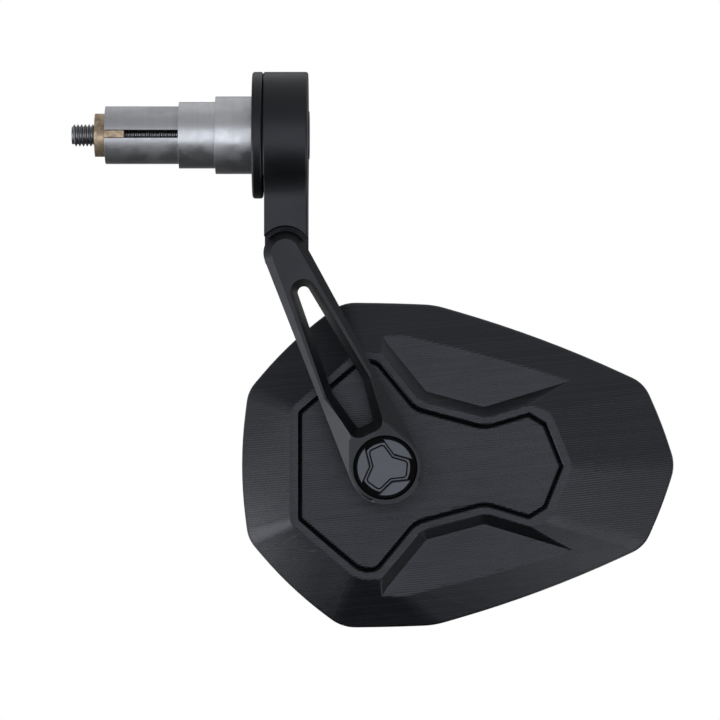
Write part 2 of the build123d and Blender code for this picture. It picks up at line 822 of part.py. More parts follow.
def make_mirror_glass():
    """Convex mirror glass with a flat back."""
    outline = inset(rim_corners(), glass_ledge + glass_gap)
    face = glass_bed + glass_thickness
    blank = ruled(at_height(outline, -glass_bed), at_height(outline, -face - cut_over))
    centre_x = (rim_tip[0] + rim_inner_corner[0]) / 2
    dome = Pos(centre_x, 0, glass_sphere_radius - face) * Sphere(glass_sphere_radius)
    return head_plane.location * (blank & dome)


def make_small_ring():
    """Centring ring for a middle sized handlebar."""
    return ring_sleeve(sleeve_radius + ring_slip, small_ring_radius, small_ring_length)


def make_large_ring():
    """Centring ring for a wide handlebar, over the small ring."""
    return ring_sleeve(small_ring_radius + ring_slip, large_ring_radius, large_ring_length)


makers = {
    "expander_sleeve": make_expander_sleeve,
    "centring_ring_small": make_small_ring,
    "centring_ring_large": make_large_ring,
    "expander_cone": make_expander_cone,
    "clamp_bolt": make_clamp_bolt,
    "bolt_washer": make_bolt_washer,
    "spacer_collar": make_spacer_collar,
    "clamp_hub": make_clamp_hub,
    "hub_end_cap": make_hub_end_cap,
    "pivot_screw": make_pivot_screw,
    "pivot_friction_washer": make_pivot_friction_washer,
    "pivot_disc_spring": make_pivot_disc_spring,
    "mirror_arm": make_mirror_arm,
    "adjuster_cap": make_adjuster_cap,
    "cap_seal": make_cap_seal,
    "ball_seat_front": make_ball_seat_front,
    "ball_seat_rear": make_ball_seat_rear,
    "ball_liner": make_ball_liner,
    "ball_stud": make_ball_stud,
    "stud_washer": make_stud_washer,
    "stud_nut": make_stud_nut,
    "mirror_housing": make_mirror_housing,
    "glass_pad": make_glass_pad,
    "mirror_glass": make_mirror_glass,
}

os.makedirs("parts", exist_ok=True)
for name, maker in makers.items():
    export_step(maker(), f"parts/{name}.step")
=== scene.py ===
"""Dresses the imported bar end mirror: rounded edges, a cut thread, milling ridges, finishes and a studio."""

import json
import math
from typing import NamedTuple

import bmesh
import bpy
from mathutils import Euler, Matrix, Vector, noise


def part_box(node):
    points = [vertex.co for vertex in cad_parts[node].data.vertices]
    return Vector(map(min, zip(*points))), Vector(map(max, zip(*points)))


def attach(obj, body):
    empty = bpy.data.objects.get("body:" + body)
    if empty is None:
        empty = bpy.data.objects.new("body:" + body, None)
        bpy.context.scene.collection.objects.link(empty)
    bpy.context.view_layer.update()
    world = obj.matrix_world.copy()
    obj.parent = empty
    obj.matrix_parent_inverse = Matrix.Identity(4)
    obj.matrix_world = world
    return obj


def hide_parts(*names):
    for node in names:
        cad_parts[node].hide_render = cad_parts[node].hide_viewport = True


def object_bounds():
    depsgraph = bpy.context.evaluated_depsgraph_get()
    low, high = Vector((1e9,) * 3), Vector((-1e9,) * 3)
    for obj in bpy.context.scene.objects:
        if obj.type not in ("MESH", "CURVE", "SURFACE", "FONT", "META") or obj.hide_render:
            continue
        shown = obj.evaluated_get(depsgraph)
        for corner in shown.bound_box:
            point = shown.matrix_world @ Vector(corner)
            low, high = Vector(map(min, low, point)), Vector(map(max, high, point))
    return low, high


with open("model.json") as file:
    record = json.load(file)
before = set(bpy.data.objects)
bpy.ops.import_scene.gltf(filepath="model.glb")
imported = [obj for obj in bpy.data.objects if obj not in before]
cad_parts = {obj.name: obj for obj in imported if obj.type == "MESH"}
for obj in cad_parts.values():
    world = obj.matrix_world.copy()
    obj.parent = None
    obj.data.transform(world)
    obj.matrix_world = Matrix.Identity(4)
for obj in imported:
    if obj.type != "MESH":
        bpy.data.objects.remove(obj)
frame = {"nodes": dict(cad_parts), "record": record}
CAD_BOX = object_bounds()

bl_info = {
    "name": "Bar End Mirror",
    "version": (1, 0, 0),
    "blender": (4, 5, 0),
    "location": "View3D > Sidebar > Mirror",
    "description": "Dresses the solids of a folding bar end mirror and sets up its studio",
    "category": "Object",
}

NODES = frame["nodes"]
BODY_OF = {node: body for body, nodes in frame["record"]["behaviour"]["bodies"].items() for node in nodes}
SLOT_OF = {row["node"]: row["material_slot"] for row in frame["record"]["subparts"]}

# Points closer than this, in metres, are one point
MERGE_DISTANCE = 1e-6
# Faces that differ by less than this are joined; the glass keeps its curve
FLAT_ANGLE = math.radians(0.5)
MIRROR_ANGLE = math.radians(0.001)
# Borders between faces that differ by more than this stay sharp
CORNER_ANGLE = math.radians(9)
THREAD_ANGLE = math.radians(24)
# A round needs faces this many times wider than itself
ROUND_ROOM = 2.2
ROUND_SEGMENTS = 2
ROUND_PROFILE = 0.5
# Outline of a metric thread, in shares of its pitch
THREAD_ROOT_END = 1 / 4
THREAD_CREST_START = 9 / 16
THREAD_CREST_END = 11 / 16

# Noise textures swing about this value
NOISE_MIDDLE = 0.5
GRAIN_OCTAVES = 2.0
PATCH_OCTAVES = 4.0
PATCH_GAIN = 0.6
PATCH_EDGES = (0.35, 0.65)
# Waves a metre of the noise that bends tool lines
SWAY_SCALE = 40.0
SWAY_OCTAVES = 1.0

WHITE = (1.0, 1.0, 1.0, 1.0)
BLACK = (0.0, 0.0, 0.0, 1.0)
COOL_TINT = (0.86, 0.9, 1.0, 1.0)


def length(label, default, description):
    """A property in metres."""
    return bpy.props.FloatProperty(
        name=label, description=description, default=default, min=0.0, unit="LENGTH", precision=5
    )


def place(label, default, description):
    """A coordinate in metres."""
    return bpy.props.FloatProperty(name=label, description=description, default=default, unit="LENGTH")


def colour(label, default, description):
    """A linear colour property."""
    return bpy.props.FloatVectorProperty(
        name=label, description=description, default=default, size=3, min=0.0, max=1.0, subtype="COLOR"
    )


def power(label, default, description):
    """A lamp's power in watts."""
    return bpy.props.FloatProperty(
        name=label, description=description, default=default, min=0.0, unit="POWER"
    )


class MirrorEdges(bpy.types.PropertyGroup):
    """Widths of the rounds that break the machined edges."""

    housing: length("Housing", 0.00028, "Round on the edges of the milled housing")
    hub: length("Hub", 0.00012, "Round on the edges of the hub")
    insert: length("Insert", 0.00003, "Round on the edges of the sleeve, its rings and the cone")
    cap: length("Cap", 0.00025, "Round on the relief of the adjuster cap")
    seal: length("Seal", 0.0003, "Round on the rubber seal")
    fasteners: length("Fasteners", 0.0001, "Round on the pivot screw")


class MirrorColours(bpy.types.PropertyGroup):
    """Base colours of the finishes."""

    anodised: colour("Anodised", (0.0018, 0.0019, 0.0024), "Bead blasted black of the arm, hub and collar")
    milled: colour("Milled", (0.007, 0.0075, 0.0095), "Black over the milling lines of the housing")
    cap: colour("Cap", (0.018, 0.0187, 0.022), "Black of the adjuster cap and the end plug")
    aluminium: colour("Aluminium", (0.54, 0.55, 0.583), "Turned aluminium of the sleeve and its rings")
    brass: colour("Brass", (0.47, 0.365, 0.26), "Dull brass of the cone")
    steel: colour("Steel", (0.25, 0.253, 0.265), "Plain steel of the bolt and the fasteners")
    rubber: colour("Rubber", (0.002, 0.002, 0.0023), "Seal and foam tape")
    polymer: colour("Polymer", (0.42, 0.40, 0.36), "Bearing polymer of the ball joint")
    silver: colour("Silver", (0.68, 0.73, 0.78), "Silvering of the mirror glass")


class MirrorDetail(bpy.types.PropertyGroup):
    """Sizes of the surface detail."""

    milling_pitch: length("Milling Pitch", 0.00063, "Distance between the milling lines of the housing")
    milling_depth: length("Milling Depth", 0.00004, "Depth of the cutter's ridges on faces square to it")
    milling_tilt: bpy.props.FloatProperty(
        name="Milling Tilt", description="How far the milling lines rise along the bar",
        default=math.radians(5.4), subtype="ANGLE",
    )
    milling_waver: length("Milling Waver", 0.003, "Distance over which the depth of a ridge changes")
    turning_pitch: length("Turning Pitch", 0.00022, "Distance between the turning lines of the insert")
    blast_grain: length("Blast Grain", 0.00016, "Size of the grain of the bead blasting")
    thread_pitch: length("Thread Pitch", 0.001, "Pitch of the clamp bolt's thread")
    thread_radius: length("Thread Radius", 0.003, "Outer radius of the clamp bolt's thread")
    thread_depth: length("Thread Depth", 0.00061, "Depth of the clamp bolt's thread")
    thread_end: length("Thread End", 0.002, "Where the thread stops, inside the insert from the bar end face")
    thread_lead: length("Thread Lead", 0.0007, "Length of the taper at the bolt's tip")


class MirrorStage(bpy.types.PropertyGroup):
    """Camera, lamps and floor."""

    camera_distance: length("Camera Distance", 1.15, "From the camera to the bar axis")
    frame_width: length("Frame Width", 0.19512, "Width of the picture at the bar axis")
    frame_x: place("Frame X", 0.0291, "Middle of the picture along the bar")
    frame_z: place("Frame Z", -0.0609, "Height of the middle of the picture")
    floor_drop: length("Floor Drop", 0.6, "From the lowest point of the part down to the floor")
    key_power: power("Key Power", 0.75, "Lamp from low on the left")
    fill_power: power("Fill Power", 0.38, "Lamp from low on the right")
    front_power: power("Front Power", 1.45, "Lamp under the camera")
    back_power: power("Back Power", 3.0, "Lamp behind the part")


class MirrorSettings(bpy.types.PropertyGroup):
    """All settings of the part and its stage."""

    edges: bpy.props.PointerProperty(type=MirrorEdges)
    colours: bpy.props.PointerProperty(type=MirrorColours)
    detail: bpy.props.PointerProperty(type=MirrorDetail)
    stage: bpy.props.PointerProperty(type=MirrorStage)


# Node helpers


def add_node(tree, kind, inputs=None, **attributes):
    """New node with its attributes, and inputs that are either values or sockets to link from."""
    node = tree.nodes.new(kind)
    for key, value in attributes.items():
        setattr(node, key, value)
    for key, value in (inputs or {}).items():
        if isinstance(value, bpy.types.NodeSocket):
            tree.links.new(value, node.inputs[key])
        else:
            node.inputs[key].default_value = value
    return node


def calculate(tree, operation, first, second=0.0):
    """Output of a math node."""
    return add_node(tree, "ShaderNodeMath", {0: first, 1: second}, operation=operation).outputs[0]


def remap(tree, value, low, high):
    """Map a value from 0 to 1 onto a range."""
    return add_node(tree, "ShaderNodeMapRange", {"Value": value, "To Min": low, "To Max": high}).outputs[0]


def tinted(tree, tone, base):
    """Base colour times a tone."""
    return add_node(
        tree, "ShaderNodeMix", {0: 1.0, 6: (*base, 1.0), 7: tone}, data_type="RGBA", blend_type="MULTIPLY"
    ).outputs[2]


def object_coordinates(tree):
    """Coordinates of the piece, in metres."""
    return add_node(tree, "ShaderNodeTexCoord").outputs["Object"]


def noise_value(tree, coordinates, scale, octaves, gain=0.5):
    """Output of a noise texture, from 0 to 1."""
    return add_node(
        tree, "ShaderNodeTexNoise",
        {"Vector": coordinates, "Scale": scale, "Detail": octaves, "Roughness": gain},
    ).outputs[0]


def about_one(tree, value, contrast):
    """Tone that swings about one as a value swings about the middle of its noise."""
    offset = calculate(tree, "SUBTRACT", value, NOISE_MIDDLE)
    return calculate(tree, "ADD", 1.0, calculate(tree, "MULTIPLY", offset, contrast))


def shader_group(name, inputs, outputs):
    """Empty shader node group with a vector, further float inputs, and float outputs."""
    tree = bpy.data.node_groups.new(name, "ShaderNodeTree")
    tree.interface.new_socket("Vector", in_out="INPUT", socket_type="NodeSocketVector")
    for label in inputs:
        tree.interface.new_socket(label, in_out="INPUT", socket_type="NodeSocketFloat")
    for label in outputs:
        tree.interface.new_socket(label, in_out="OUTPUT", socket_type="NodeSocketFloat")
    return tree, tree.nodes.new("NodeGroupInput").outputs, tree.nodes.new("NodeGroupOutput").inputs


def blasted_grain_group():
    """Fine grain of bead blasting: a height and a tone about one."""
    tree, given, result = shader_group("blasted_grain", ("Grain", "Contrast"), ("Height", "Tone"))
    scale = calculate(tree, "DIVIDE", 1.0, given["Grain"])
    grain = noise_value(tree, given["Vector"], scale, GRAIN_OCTAVES)
    tree.links.new(grain, result["Height"])
    tree.links.new(about_one(tree, grain, given["Contrast"]), result["Tone"])
    return tree


def tool_lines_group():
    """Scallops that a cutter leaves, side by side along one coordinate, each with its own tone."""
    tree, given, result = shader_group(
        "tool_lines", ("Along", "Pitch", "Waver", "Contrast"), ("Height", "Tone")
    )
    sway = noise_value(tree, given["Vector"], SWAY_SCALE, SWAY_OCTAVES)
    shift = calculate(tree, "MULTIPLY", calculate(tree, "SUBTRACT", sway, NOISE_MIDDLE), given["Waver"])
    phase = calculate(tree, "ADD", calculate(tree, "DIVIDE", given["Along"], given["Pitch"]), shift)
    wave = calculate(tree, "SINE", calculate(tree, "MULTIPLY", phase, math.pi))
    tree.links.new(calculate(tree, "ABSOLUTE", wave), result["Height"])
    chance = add_node(
        tree, "ShaderNodeTexWhiteNoise", {"W": calculate(tree, "FLOOR", phase)}, noise_dimensions="1D"
    ).outputs["Value"]
    tree.links.new(about_one(tree, chance, given["Contrast"]), result["Tone"])
    return tree


def handling_group():
    """Broad soft patches from handling, from 0 to 1."""
    tree, given, result = shader_group("handling", ("Size",), ("Patch",))
    scale = calculate(tree, "DIVIDE", 1.0, given["Size"])
    cloud = noise_value(tree, given["Vector"], scale, PATCH_OCTAVES, PATCH_GAIN)
    low, high = PATCH_EDGES
    patch = add_node(
        tree, "ShaderNodeMapRange", {"Value": cloud, "From Min": low, "From Max": high},
        interpolation_type="SMOOTHSTEP",
    ).outputs[0]
    tree.links.new(patch, result["Patch"])
    return tree


GROUP_MAKERS = {
    "blasted_grain": blasted_grain_group,
    "tool_lines": tool_lines_group,
    "handling": handling_group,
}


def use_group(tree, name, inputs):
    """Place a shared node group, built on its first use, and return its outputs."""
    group = bpy.data.node_groups.get(name) or GROUP_MAKERS[name]()
    return add_node(tree, "ShaderNodeGroup", inputs, node_tree=group).outputs


def new_material(name):
    """Material with a Principled shader: the material, its tree and the shader."""
    material = bpy.data.materials.new(name)
    material.use_nodes = True
    tree = material.node_tree
    return material, tree, tree.nodes["Principled BSDF"]


def dress(tree, shader, tone, base, roughness):
    """Feed the shader's colour and roughness."""
    tree.links.new(tinted(tree, tone, base), shader.inputs["Base Color"])
    tree.links.new(roughness, shader.inputs["Roughness"])


def bump(tree, shader, height, relief):
    """Feed the shader's normal from a height that spans a relief in metres."""
    node = add_node(tree, "ShaderNodeBump", {"Height": height, "Distance": relief, "Strength": 1.0})
    tree.links.new(node.outputs[0], shader.inputs["Normal"])


# Finishes


class Skin(NamedTuple):
    """A finish with a fine grain: its colour, lengths in metres, and ranges over its patches or its grain."""

    base: str
    contrast: float
    relief: float
    roughness: tuple
    grain: float = 0.0  # none takes the grain of the bead blasting
    patch: float = 0.0  # none leaves out the patches
    tone: tuple = (1.0, 1.0)
    metallic: float = 0.0
    specular: float = 0.5
    tint: tuple = WHITE


class Cut(NamedTuple):
    """A finish with tool lines: their sway in lines, lengths in metres, and ranges over its patches."""

    sway: float
    contrast: float
    relief: float
    patch: float
    roughness: tuple


SATIN = Skin(
    "anodised", contrast=0.5, relief=0.00001, roughness=(0.36, 0.46), patch=0.02,
    specular=0.46, tint=COOL_TINT,
)
SKINS = {
    "satin_black_anodised": SATIN,
    "plug_black_satin": SATIN._replace(base="cap"),
    "cap_anodised": SATIN._replace(base="cap", relief=0.000002, roughness=(0.2, 0.3), specular=0.85),
    "dull_brass": Skin(
        "brass", contrast=0.8, relief=0.00003, roughness=(0.56, 0.4), grain=0.0003, patch=0.0025,
        tone=(0.7, 1.15), metallic=0.86,
    ),
    "plain_steel": Skin(
        "steel", contrast=0.35, relief=0.000004, roughness=(0.24, 0.36), grain=0.0004, patch=0.004,
        metallic=1.0,
    ),
    "soft_black": Skin(
        "rubber", contrast=1.0, relief=0.00002, roughness=(0.55, 0.75), grain=0.0003, specular=0.05
    ),
    "bearing_polymer": Skin(
        "polymer", contrast=0.2, relief=0.00001, roughness=(0.4, 0.5), grain=0.0005
    ),
}

MILLED = Cut(sway=0.8, contrast=0.7, relief=0.000003, patch=0.03, roughness=(0.32, 0.4))
# Range of the painted shading across each milling line, from painted shade in its furrow to painted sheen on
# its crest
MILLED_SHADE_AND_SHEEN = (-0.2, 1.6)
MILLED_SPECULAR = 0.51
TURNED = Cut(sway=0.3, contrast=0.06, relief=0.000002, patch=0.006, roughness=(0.41, 0.29))
TURNED_TONE = (0.94, 1.03)
# The sleeve past its rings, along X, is darker and duller than they are
SLEEVE_START = -0.0198
SLEEVE_FULL = -0.0202
SLEEVE_TONE = 0.84
SLEEVE_DULLING = 0.07
GLASS_PATCH = 0.015
GLASS_TONE = (0.97, 1.0)
GLASS_ROUGHNESS = (0.035, 0.015)


def grained_finish(name, settings):
    """Finish with a fine grain, worn in patches where it has any."""
    skin = SKINS[name]
    material, tree, shader = new_material(name)
    spot = object_coordinates(tree)
    size = skin.grain or settings.detail.blast_grain
    grain = use_group(tree, "blasted_grain", {"Vector": spot, "Grain": size, "Contrast": skin.contrast})
    tone, wear = grain["Tone"], grain["Height"]
    if skin.patch:
        wear = use_group(tree, "handling", {"Vector": spot, "Size": skin.patch})["Patch"]
        tone = calculate(tree, "MULTIPLY", tone, remap(tree, wear, *skin.tone))
    dress(tree, shader, tone, getattr(settings.colours, skin.base), remap(tree, wear, *skin.roughness))
    shader.inputs["Metallic"].default_value = skin.metallic
    shader.inputs["Specular IOR Level"].default_value = skin.specular
    shader.inputs["Specular Tint"].default_value = skin.tint
    bump(tree, shader, grain["Height"], skin.relief)
    return material


def across_milling(detail):
    """Unit vector across the milling lines."""
    return Vector((-math.sin(detail.milling_tilt), 0, math.cos(detail.milling_tilt)))


def lines_and_patches(tree, spot, along, pitch, cut):
    """Outputs of the tool lines and of the patches of a cut finish."""
    lines = use_group(
        tree, "tool_lines",
        {"Vector": spot, "Along": along, "Pitch": pitch, "Waver": cut.sway, "Contrast": cut.contrast},
    )
    return lines, use_group(tree, "handling", {"Vector": spot, "Size": cut.patch})["Patch"]


def milled_black(name, settings):
    """Black anodised aluminium over milling lines, with painted shade in their furrows and painted sheen on
    their crests.
    """
    material, tree, shader = new_material(name)
    spot = object_coordinates(tree)
    along = add_node(
        tree, "ShaderNodeVectorMath", {0: spot, 1: across_milling(settings.detail)}, operation="DOT_PRODUCT"
    ).outputs["Value"]
    lines, patch = lines_and_patches(tree, spot, along, settings.detail.milling_pitch, MILLED)
    # Painted shade and sheen: darker in each line's furrow, brighter on its crest, times the line's own
    # random tone
    tone = calculate(tree, "MULTIPLY", lines["Tone"], remap(tree, lines["Height"], *MILLED_SHADE_AND_SHEEN))
    dress(tree, shader, tone, settings.colours.milled, remap(tree, patch, *MILLED.roughness))
    shader.inputs["Specular IOR Level"].default_value = MILLED_SPECULAR
    shader.inputs["Specular Tint"].default_value = COOL_TINT
    bump(tree, shader, lines["Height"], MILLED.relief)
    return material


def turned_aluminium(name, settings):
    """Turned aluminium with rings of tool lines and dull patches."""
    material, tree, shader = new_material(name)
    spot = object_coordinates(tree)
    along = add_node(tree, "ShaderNodeSeparateXYZ", {0: spot}).outputs["X"]
    lines, patch = lines_and_patches(tree, spot, along, settings.detail.turning_pitch, TURNED)
    sleeve = add_node(
        tree, "ShaderNodeMapRange", {"Value": along, "From Min": SLEEVE_START, "From Max": SLEEVE_FULL}
    ).outputs[0]
    tone = calculate(tree, "MULTIPLY", lines["Tone"], remap(tree, patch, *TURNED_TONE))
    tone = calculate(tree, "MULTIPLY", tone, remap(tree, sleeve, 1.0, SLEEVE_TONE))
    dulling = remap(tree, sleeve, 0.0, SLEEVE_DULLING)
    roughness = calculate(tree, "ADD", remap(tree, patch, *TURNED.roughness), dulling)
    dress(tree, shader, tone, settings.colours.aluminium, roughness)
    shader.inputs["Metallic"].default_value = 1.0
    bump(tree, shader, lines["Height"], TURNED.relief)
    return material


def silvered_glass(name, settings):
    """Mirror glass: bright silver with a faint haze of dust."""
    material, tree, shader = new_material(name)
    patch = use_group(tree, "handling", {"Vector": object_coordinates(tree), "Size": GLASS_PATCH})["Patch"]
    tone = remap(tree, patch, *GLASS_TONE)
    dress(tree, shader, tone, settings.colours.silver, remap(tree, patch, *GLASS_ROUGHNESS))
    shader.inputs["Metallic"].default_value = 1.0
    return material


FINISH_OF = {
    "bright_aluminium": ("turned_aluminium", turned_aluminium),
    "cone_brass": ("dull_brass", grained_finish),
    "bolt_steel": ("plain_steel", grained_finish),
    "satin_black": ("satin_black_anodised", grained_finish),
    "milled_black": ("milled_black", milled_black),
    "cap_black": ("cap_anodised", grained_finish),
    "plug_black": ("plug_black_satin", grained_finish),
    "seal_rubber": ("soft_black", grained_finish),
    "bearing_polymer": ("bearing_polymer", grained_finish),
    "pad_foam": ("soft_black", grained_finish),
    "mirror_glass": ("silvered_glass", silvered_glass),
}
finishes = {}


def finish_of(node, settings):
    """Material of a node's slot, built on its first use."""
    name, maker = FINISH_OF[SLOT_OF[node]]
    if name not in finishes:
        finishes[name] = maker(name, settings)
    return finishes[name]


# Pieces


def add_piece(name, bm, node, settings):
    """Turn a bmesh into a piece that stands for a node: same body, slot and finish."""
    for face in bm.faces:
        face.smooth = True
    mesh = bpy.data.meshes.new(name)
    bm.to_mesh(mesh)
    bm.free()
    # The normals stored with the solid no longer fit the changed mesh
    if "custom_normal" in mesh.attributes:
        mesh.attributes.remove(mesh.attributes["custom_normal"])
    mesh.materials.append(finish_of(node, settings))
    piece = bpy.data.objects.new(name, mesh)
    bpy.context.scene.collection.objects.link(piece)
    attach(piece, BODY_OF[node])
    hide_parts(node)
    return piece


def merged_copy(node, flat_angle=FLAT_ANGLE):
    """Bmesh copy of a node's mesh, joined along the borders of its faces, whose corners are marked sharp."""
    bm = bmesh.new()
    bm.from_mesh(NODES[node].data)
    for edge in bm.edges:
        edge.seam = edge.is_boundary
    bmesh.ops.remove_doubles(bm, verts=bm.verts, dist=MERGE_DISTANCE)
    bmesh.ops.dissolve_limit(
        bm, angle_limit=flat_angle, verts=bm.verts, edges=bm.edges, delimit={"SEAM"}
    )
    for edge in bm.edges:
        edge.smooth = not (edge.seam and edge.calc_face_angle(0) > CORNER_ANGLE)
    return bm


def face_reach(face, edge):
    """How far a face reaches from one of its edges."""
    start = edge.verts[0].co
    along = (edge.verts[1].co - start).normalized()
    return max((vert.co - start).cross(along).length for vert in face.verts)


def breakable_edges(bm, width):
    """Sharp outer edges whose two faces have room for a round."""
    return [
        edge for edge in bm.edges
        if not edge.smooth and edge.is_convex
        and all(face_reach(face, edge) > ROUND_ROOM * width for face in edge.link_faces)
    ]


def rounded_piece(name, node, width, settings):
    """Copy of a node whose outer edges are broken by small rounds."""
    bm = merged_copy(node)
    weight = bm.edges.layers.float.new("bevel_weight_edge")
    for edge in bm.edges:
        edge.seam = False
    for edge in breakable_edges(bm, width):
        edge[weight] = 1.0
    piece = add_piece(name, bm, node, settings)
    rounds = piece.modifiers.new("rounds", "BEVEL")
    rounds.width = width
    rounds.segments = ROUND_SEGMENTS
    rounds.profile = ROUND_PROFILE
    rounds.limit_method = "WEIGHT"
    rounds.harden_normals = True
    rounds.use_clamp_overlap = False


def paint(node, settings):
    """Give a node that shows as it is its finish."""
    materials = NODES[node].data.materials
    materials.clear()
    materials.append(finish_of(node, settings))


def thread_profile(bm, start, root, crest, pitch):
    """One pitch of a metric thread as a chain of edges along X, above the axis."""
    outline = [
        (0, root), (THREAD_ROOT_END, root), (THREAD_CREST_START, crest), (THREAD_CREST_END, crest), (1, root)
    ]
    points = [bm.verts.new((start + share * pitch, 0, radius)) for share, radius in outline]
    return points + [bm.edges.new(pair) for pair in zip(points, points[1:])]


def cut_across(bm, spot, normal, drop_behind=False):
    """Cut a bmesh along a plane, drop what lies behind it if asked, and return the new edges."""
    cut = bmesh.ops.bisect_plane(
        bm, geom=bm.verts[:] + bm.edges[:] + bm.faces[:], dist=MERGE_DISTANCE,
        plane_co=spot, plane_no=normal, clear_inner=drop_behind,
    )
    return [item for item in cut["geom_cut"] if isinstance(item, bmesh.types.BMEdge)]


def close_cut(bm, position, keep):
    """Cut a bmesh across X, keep the side that keep points to and close the cut."""
    edges = cut_across(bm, (position, 0, 0), (keep, 0, 0), drop_behind=True)
    bmesh.ops.edgeloop_fill(bm, edges=edges)


class MirrorOperator(bpy.types.Operator):
    """Shared options of the mirror's operators."""

    bl_options = {"REGISTER", "UNDO"}


class MIRROR_OT_insert(MirrorOperator):
    """Round and finish the sleeve, its two rings and the cone"""

    bl_idname = "bar_end_mirror.insert"
    bl_label = "Insert"

    def execute(self, context):
        settings = context.scene.bar_end_mirror
        width = settings.edges.insert
        rounded_piece("sleeve_turned", "expander_sleeve", width, settings)
        rounded_piece("ring_small_turned", "centring_ring_small", width, settings)
        rounded_piece("ring_large_turned", "centring_ring_large", width, settings)
        rounded_piece("cone_turned", "expander_cone", width, settings)
        return {"FINISHED"}


class MIRROR_OT_clamp_bolt(MirrorOperator):
    """Cut a real thread on the clamp bolt"""

    bl_idname = "bar_end_mirror.clamp_bolt"
    bl_label = "Clamp Bolt"
    steps_per_turn = 32
    spare_turns = 2  # cut off again at the ends

    def execute(self, context):
        settings = context.scene.bar_end_mirror
        detail = settings.detail
        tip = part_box("clamp_bolt")[0].x
        bm = self.threaded_length(tip, -detail.thread_end, detail)
        head = merged_copy("clamp_bolt")
        close_cut(head, -detail.thread_end, 1)
        spare = bpy.data.meshes.new("spare")
        head.to_mesh(spare)
        head.free()
        bm.from_mesh(spare)
        bpy.data.meshes.remove(spare)
        piece = add_piece("clamp_bolt_threaded", bm, "clamp_bolt", settings)
        piece.data.set_sharp_from_angle(angle=THREAD_ANGLE)
        return {"FINISHED"}

    def threaded_length(self, tip, end, detail):
        """Closed bar along X with a helical thread and a tapered tip."""
        pitch = detail.thread_pitch
        crest = detail.thread_radius
        turns = math.ceil((end - tip) / pitch) + self.spare_turns
        bm = bmesh.new()
        profile = thread_profile(bm, tip - pitch, crest - detail.thread_depth, crest, pitch)
        bmesh.ops.spin(
            bm, geom=profile, cent=(0, 0, 0), axis=(1, 0, 0), dvec=(pitch / self.steps_per_turn, 0, 0),
            angle=math.tau * turns, steps=turns * self.steps_per_turn,
        )
        bmesh.ops.remove_doubles(bm, verts=bm.verts, dist=MERGE_DISTANCE)
        close_cut(bm, tip, 1)
        close_cut(bm, end, -1)
        bmesh.ops.recalc_face_normals(bm, faces=bm.faces)
        for vert in bm.verts:
            radius = math.hypot(vert.co.y, vert.co.z)
            limit = crest - max(0, tip + detail.thread_lead - vert.co.x)
            if radius > limit:
                vert.co.y *= limit / radius
                vert.co.z *= limit / radius
        return bm


class MIRROR_OT_hub(MirrorOperator):
    """Round the hub, and finish it with its collar and its end plug"""

    bl_idname = "bar_end_mirror.hub"
    bl_label = "Hub"

    def execute(self, context):
        settings = context.scene.bar_end_mirror
        rounded_piece("hub_blasted", "clamp_hub", settings.edges.hub, settings)
        paint("spacer_collar", settings)
        paint("hub_end_cap", settings)
        return {"FINISHED"}


class MIRROR_OT_pivot(MirrorOperator):
    """Finish the screw, the washer and the spring of the folding pivot, and the bolt's washer"""

    bl_idname = "bar_end_mirror.pivot"
    bl_label = "Folding Pivot"

    def execute(self, context):
        settings = context.scene.bar_end_mirror
        rounded_piece("pivot_screw_turned", "pivot_screw", settings.edges.fasteners, settings)
        for node in ("bolt_washer", "pivot_friction_washer", "pivot_disc_spring"):
            paint(node, settings)
        return {"FINISHED"}


class MIRROR_OT_arm(MirrorOperator):
    """Finish the arm, whose facets meet in crisp edges"""

    bl_idname = "bar_end_mirror.arm"
    bl_label = "Arm"

    def execute(self, context):
        paint("mirror_arm", context.scene.bar_end_mirror)
        return {"FINISHED"}


class MIRROR_OT_adjuster(MirrorOperator):
    """Round the adjuster cap and the seal under its head"""

    bl_idname = "bar_end_mirror.adjuster"
    bl_label = "Adjuster"

    def execute(self, context):
        settings = context.scene.bar_end_mirror
        rounded_piece("adjuster_cap_cut", "adjuster_cap", settings.edges.cap, settings)
        rounded_piece("cap_seal_ring", "cap_seal", settings.edges.seal, settings)
        return {"FINISHED"}


class MIRROR_OT_ball_joint(MirrorOperator):
    """Finish the seats, the liner and the stud of the ball joint"""

    bl_idname = "bar_end_mirror.ball_joint"
    bl_label = "Ball Joint"
    pieces = ("ball_seat_front", "ball_seat_rear", "ball_liner", "ball_stud", "stud_washer", "stud_nut")

    def execute(self, context):
        settings = context.scene.bar_end_mirror
        for node in self.pieces:
            paint(node, settings)
        return {"FINISHED"}


